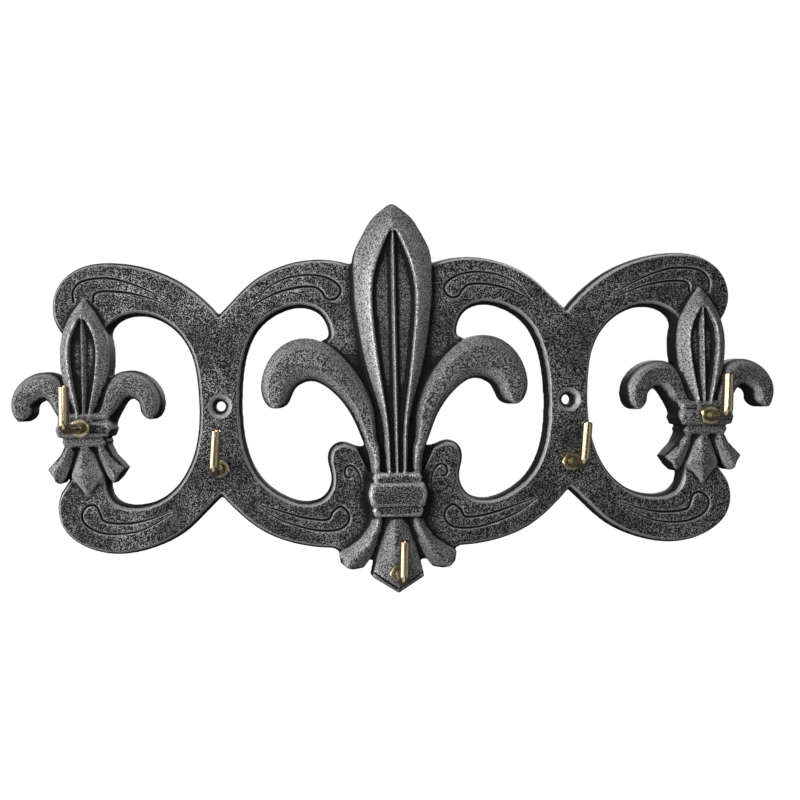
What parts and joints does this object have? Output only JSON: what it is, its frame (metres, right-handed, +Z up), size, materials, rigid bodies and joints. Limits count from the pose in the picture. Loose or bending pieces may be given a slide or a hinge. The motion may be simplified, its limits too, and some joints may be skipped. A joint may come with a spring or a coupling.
{
  "type": "key holder",
  "caption": "Wall key rack: a pierced cast scroll plate with a large central and small end fleurs-de-lis, and bent brass rod hooks locked by hexagon nuts.",
  "frame": {"origin": "midway between the centres of the two wall screw holes, on the flat back face", "axes": "+X to the viewer's right along the rack, +Z up the wall, -Y out of the wall towards the viewer"},
  "size_m": [0.3428, 0.033, 0.173],
  "materials": {
    "iron": "sand-cast grain, black in the hollows and dry-brushed dull silver on the raised parts",
    "hook_brass": "bright drawn brass rod",
    "nut_brass": "turned brass, slightly dull"
  },
  "bodies": {
    "root": {"rack_casting": "iron", "hook_left_end": "hook_brass", "hook_left_inner": "hook_brass", "hook_centre": "hook_brass", "hook_right_inner": "hook_brass", "hook_right_end": "hook_brass", "nut_left_end": "nut_brass", "nut_left_inner": "nut_brass", "nut_centre": "nut_brass", "nut_right_inner": "nut_brass", "nut_right_end": "nut_brass"}
  },
  "joints": []
}
